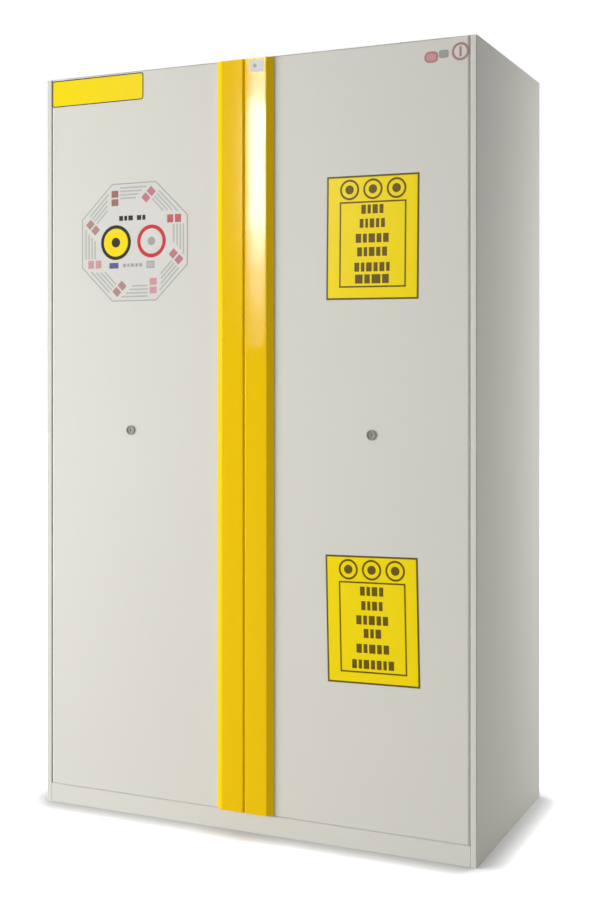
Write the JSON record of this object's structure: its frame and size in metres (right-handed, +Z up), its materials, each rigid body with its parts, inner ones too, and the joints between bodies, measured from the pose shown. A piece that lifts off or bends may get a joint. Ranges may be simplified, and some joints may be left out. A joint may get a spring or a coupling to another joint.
{
  "type": "reagent safety cabinet",
  "caption": "Closed two-door safety cabinet for reagents on a low plinth, with yellow full-height handles, shelves and a sump on the left and pull-out trays on the right.",
  "frame": {"origin": "middle of the underside, on the floor, halfway between the handles' face and the back", "axes": "+X to the right as seen from the front, the doors face -Y, +Z up"},
  "size_m": [1.2, 0.613, 1.995],
  "materials": {
    "casing_paint": "satin",
    "handle_paint": "gloss",
    "zinc_sheet": "galvanised",
    "steel_parts": "plated",
    "brass_parts": "plain",
    "lock_metal": "dark satin",
    "fire_board": "plain mineral board",
    "lining_laminate": "laminate",
    "shelf_paint": "powder coat",
    "sump_paint": "powder coat",
    "seal_rubber": "matte",
    "cap_plastic": "matte",
    "grey_plastic": "matte",
    "tub_plastic": "matte"
  },
  "bodies": {
    "carcass": {"side_casing_left": "casing_paint", "side_casing_right": "casing_paint", "top_casing": "casing_paint", "back_casing": "zinc_sheet", "base_pan": "casing_paint", "base_channels": "zinc_sheet", "plinth_panel": "casing_paint", "insulation_boards": "fire_board", "front_frame": "casing_paint", "frame_seals": "seal_rubber", "liner_left": "lining_laminate", "liner_right": "lining_laminate", "exhaust_spigots": "zinc_sheet", "earth_terminal": "brass_parts", "hinge_plates": "steel_parts", "pivot_pins": "steel_parts", "keeper_plates": "steel_parts", "shelf_lower": "shelf_paint", "shelf_middle": "shelf_paint", "shelf_upper": "shelf_paint", "shelf_uprights": "shelf_paint", "shelf_clips": "steel_parts", "sump_tray": "sump_paint", "sump_grid": "sump_paint", "divider_panel": "lining_laminate", "filler_panels": "lining_laminate", "runner_channels": "steel_parts", "air_grilles": "grey_plastic"},
    "feet": {"levelling_feet": "steel_parts"},
    "door_left": {"door_skin_left": "casing_paint", "door_insulation_left": "fire_board", "door_inner_panel_left": "casing_paint", "door_handle_left": "handle_paint", "handle_caps_left": "cap_plastic", "pivot_blocks_left": "steel_parts", "lock_housing_left": "lock_metal", "lock_case_left": "zinc_sheet"},
    "lock_left": {"lock_cylinder_left": "lock_metal"},
    "rod_upper_left_body": {"rod_upper_left": "steel_parts"},
    "rod_lower_left_body": {"rod_lower_left": "steel_parts"},
    "door_right": {"door_skin_right": "casing_paint", "door_insulation_right": "fire_board", "door_inner_panel_right": "casing_paint", "door_handle_right": "handle_paint", "handle_caps_right": "cap_plastic", "pivot_blocks_right": "steel_parts", "lock_housing_right": "lock_metal", "lock_case_right": "zinc_sheet"},
    "lock_right": {"lock_cylinder_right": "lock_metal"},
    "rod_upper_right_body": {"rod_upper_right": "steel_parts"},
    "rod_lower_right_body": {"rod_lower_right": "steel_parts"},
    "tray_1": {"tray_carrier_1": "shelf_paint", "tray_tub_1": "tub_plastic"},
    "tray_2": {"tray_carrier_2": "shelf_paint", "tray_tub_2": "tub_plastic"},
    "tray_3": {"tray_carrier_3": "shelf_paint", "tray_tub_3": "tub_plastic"},
    "tray_4": {"tray_carrier_4": "shelf_paint", "tray_tub_4": "tub_plastic"}
  },
  "joints": [
    {"name": "door_left_hinge", "type": "hinge", "parent": "carcass", "child": "door_left", "pos_m": [-0.5775, -0.287, 1], "axis": [0, 0, -1], "range_deg": [0, 95]},
    {"name": "door_right_hinge", "type": "hinge", "parent": "carcass", "child": "door_right", "pos_m": [0.5775, -0.287, 1], "axis": [0, 0, 1], "range_deg": [0, 95]},
    {"name": "feet_height", "type": "slide", "parent": "carcass", "child": "feet", "axis": [0, 0, -1], "range_m": [0, 0.012]},
    {"name": "tray_1_slide", "type": "slide", "parent": "carcass", "child": "tray_1", "axis": [0, -1, 0], "range_m": [0, 0.21]},
    {"name": "tray_2_slide", "type": "slide", "parent": "carcass", "child": "tray_2", "axis": [0, -1, 0], "range_m": [0, 0.21]},
    {"name": "tray_3_slide", "type": "slide", "parent": "carcass", "child": "tray_3", "axis": [0, -1, 0], "range_m": [0, 0.21]},
    {"name": "tray_4_slide", "type": "slide", "parent": "carcass", "child": "tray_4", "axis": [0, -1, 0], "range_m": [0, 0.21]},
    {"name": "lock_left_turn", "type": "hinge", "parent": "door_left", "child": "lock_left", "pos_m": [-0.3375, -0.2715, 1.008], "axis": [0, 1, 0], "range_deg": [0, 90]},
    {"name": "rod_upper_left_slide", "type": "slide", "parent": "door_left", "child": "rod_upper_left_body", "axis": [0, 0, 1], "range_m": [0, 0.018]},
    {"name": "rod_lower_left_slide", "type": "slide", "parent": "door_left", "child": "rod_lower_left_body", "axis": [0, 0, -1], "range_m": [0, 0.018]},
    {"name": "lock_right_turn", "type": "hinge", "parent": "door_right", "child": "lock_right", "pos_m": [0.3375, -0.2715, 1.008], "axis": [0, -1, 0], "range_deg": [0, 90]},
    {"name": "rod_upper_right_slide", "type": "slide", "parent": "door_right", "child": "rod_upper_right_body", "axis": [0, 0, 1], "range_m": [0, 0.018]},
    {"name": "rod_lower_right_slide", "type": "slide", "parent": "door_right", "child": "rod_lower_right_body", "axis": [0, 0, -1], "range_m": [0, 0.018]}
  ],
  "couplings": [
    {"joint": "tray_1_slide", "follows": "door_right_hinge", "m_per_rad": 0.125},
    {"joint": "tray_2_slide", "follows": "door_right_hinge", "m_per_rad": 0.125},
    {"joint": "tray_3_slide", "follows": "door_right_hinge", "m_per_rad": 0.125},
    {"joint": "tray_4_slide", "follows": "door_right_hinge", "m_per_rad": 0.125},
    {"joint": "rod_upper_left_slide", "follows": "lock_left_turn", "m_per_rad": 0.01125},
    {"joint": "rod_lower_left_slide", "follows": "lock_left_turn", "m_per_rad": 0.01125},
    {"joint": "rod_upper_right_slide", "follows": "lock_right_turn", "m_per_rad": 0.01125},
    {"joint": "rod_lower_right_slide", "follows": "lock_right_turn", "m_per_rad": 0.01125}
  ]
}
